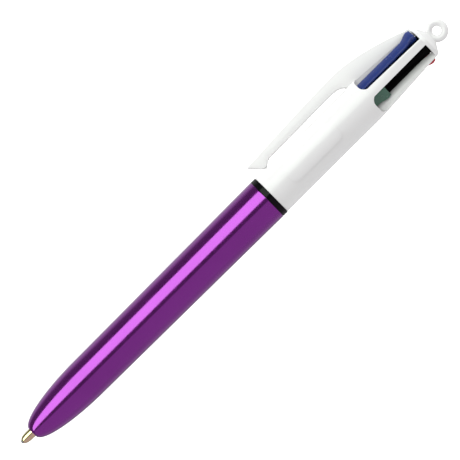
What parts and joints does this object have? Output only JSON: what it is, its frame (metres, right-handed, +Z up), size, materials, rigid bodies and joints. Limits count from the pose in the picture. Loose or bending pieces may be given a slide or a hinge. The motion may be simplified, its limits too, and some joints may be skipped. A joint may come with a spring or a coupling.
{
  "type": "multicolor click pen",
  "caption": "Retractable multicolor ballpoint pen with slot-mounted sliders around a tapered upper barrel, a side clip, a lanyard loop and a bullet-nosed lower barrel.",
  "frame": {"origin": "middle of the bounding box, on the surface that the pen lies on", "axes": "+X along the pen from the writing point to the loop, +Z up, the clip toward +Y and dipped to the floor"},
  "size_m": [0.148, 0.0156, 0.0117],
  "materials": {
    "purple_barrel": "gloss",
    "white_plastic": "gloss",
    "black_ring": "gloss",
    "guide_plastic": "satin",
    "core_plastic": "satin",
    "tube_plastic": "satin",
    "spring_steel": "polished",
    "point_brass": "polished",
    "ball_carbide": "polished",
    "slider_green": "gloss",
    "slider_blue": "gloss",
    "slider_red": "gloss",
    "slider_black": "gloss",
    "ink_green": "satin",
    "ink_blue": "satin",
    "ink_red": "satin",
    "ink_black": "satin"
  },
  "bodies": {
    "upper": {"upper_barrel": "white_plastic", "end_cap": "white_plastic", "refill_guide": "guide_plastic", "center_core": "core_plastic", "spring_green": "spring_steel", "spring_blue": "spring_steel", "spring_red": "spring_steel", "spring_black": "spring_steel"},
    "ring": {"trim_ring": "black_ring"},
    "lower": {"lower_barrel": "purple_barrel"},
    "clip": {"clip_arm": "white_plastic"},
    "green_refill": {"tube_green": "tube_plastic"},
    "green_slider": {"slider_green": "slider_green"},
    "green_tip": {"point_green": "point_brass", "ball_green": "ball_carbide", "ink_green": "ink_green"},
    "blue_refill": {"tube_blue": "tube_plastic"},
    "blue_slider": {"slider_blue": "slider_blue"},
    "blue_tip": {"point_blue": "point_brass", "ball_blue": "ball_carbide", "ink_blue": "ink_blue"},
    "red_refill": {"tube_red": "tube_plastic"},
    "red_slider": {"slider_red": "slider_red"},
    "red_tip": {"point_red": "point_brass", "ball_red": "ball_carbide", "ink_red": "ink_red"},
    "black_refill": {"tube_black": "tube_plastic"},
    "black_slider": {"slider_black": "slider_black"},
    "black_tip": {"point_black": "point_brass", "ball_black": "ball_carbide", "ink_black": "ink_black"}
  },
  "joints": [
    {"name": "barrel_turn", "type": "hinge", "parent": "upper", "child": "ring", "pos_m": [0.01178, -0.00194, 0.00583], "axis": [-1, 0, 0], "range_deg": [0, 1080]},
    {"name": "barrel_pull", "type": "slide", "parent": "ring", "child": "lower", "axis": [-1, 0, 0], "range_m": [0, 0.09]},
    {"name": "clip_flex", "type": "hinge", "parent": "upper", "child": "clip", "pos_m": [0.04627, 0.00549, 0.00202], "axis": [0, -0.4559, -0.89], "range_deg": [0, 3.5], "stiffness_Nm_per_rad": 1.5},
    {"name": "green_slide", "type": "slide", "parent": "upper", "child": "green_refill", "axis": [1, 0, 0], "range_m": [0, 0.0142], "deforming": ["spring_green"]},
    {"name": "green_press", "type": "hinge", "parent": "green_refill", "child": "green_slider", "pos_m": [0.02757, -0.00276, 0.00835], "axis": [0, 0.9517, 0.307], "range_deg": [-4.31, 0]},
    {"name": "green_bend", "type": "hinge", "parent": "green_refill", "child": "green_tip", "pos_m": [0.00528, -0.00276, 0.00835], "axis": [0, -0.9517, -0.307], "range_deg": [-2.1, 0], "deforming": ["tube_green", "ink_green", "point_green", "ball_green"]},
    {"name": "blue_slide", "type": "slide", "parent": "upper", "child": "blue_refill", "axis": [1, 0, 0], "range_m": [-0.0142, 0], "stiffness_N_per_m": 100, "deforming": ["spring_blue"]},
    {"name": "blue_press", "type": "hinge", "parent": "blue_refill", "child": "blue_slider", "pos_m": [0.04177, 0.00058, 0.00664], "axis": [0, 0.307, -0.9517], "range_deg": [0, 4.31]},
    {"name": "blue_bend", "type": "hinge", "parent": "blue_refill", "child": "blue_tip", "pos_m": [0.01947, 0.00058, 0.00664], "axis": [0, -0.307, 0.9517], "range_deg": [0, 2.1], "deforming": ["tube_blue", "ink_blue", "point_blue", "ball_blue"]},
    {"name": "red_slide", "type": "slide", "parent": "upper", "child": "red_refill", "axis": [1, 0, 0], "range_m": [-0.0142, 0], "stiffness_N_per_m": 100, "deforming": ["spring_red"]},
    {"name": "red_press", "type": "hinge", "parent": "red_refill", "child": "red_slider", "pos_m": [0.04177, -0.00446, 0.00502], "axis": [0, -0.307, 0.9517], "range_deg": [0, 4.31]},
    {"name": "red_bend", "type": "hinge", "parent": "red_refill", "child": "red_tip", "pos_m": [0.01947, -0.00446, 0.00502], "axis": [0, 0.307, -0.9517], "range_deg": [0, 2.1], "deforming": ["tube_red", "ink_red", "point_red", "ball_red"]},
    {"name": "black_slide", "type": "slide", "parent": "upper", "child": "black_refill", "axis": [1, 0, 0], "range_m": [-0.0142, 0], "stiffness_N_per_m": 100, "deforming": ["spring_black"]},
    {"name": "black_press", "type": "hinge", "parent": "black_refill", "child": "black_slider", "pos_m": [0.04177, -0.00113, 0.00331], "axis": [0, -0.9517, -0.307], "range_deg": [0, 4.31]},
    {"name": "black_bend", "type": "hinge", "parent": "black_refill", "child": "black_tip", "pos_m": [0.01947, -0.00113, 0.00331], "axis": [0, 0.9517, 0.307], "range_deg": [0, 2.1], "deforming": ["tube_black", "ink_black", "point_black", "ball_black"]}
  ],
  "couplings": [
    {"joint": "green_press", "follows": "green_slide", "rad_per_m": -5.3022},
    {"joint": "green_bend", "follows": "green_slide", "rad_per_m": -2.581},
    {"joint": "blue_press", "follows": "blue_slide", "rad_per_m": -5.3022},
    {"joint": "blue_bend", "follows": "blue_slide", "rad_per_m": -2.581},
    {"joint": "red_press", "follows": "red_slide", "rad_per_m": -5.3022},
    {"joint": "red_bend", "follows": "red_slide", "rad_per_m": -2.581},
    {"joint": "black_press", "follows": "black_slide", "rad_per_m": -5.3022},
    {"joint": "black_bend", "follows": "black_slide", "rad_per_m": -2.581}
  ]
}
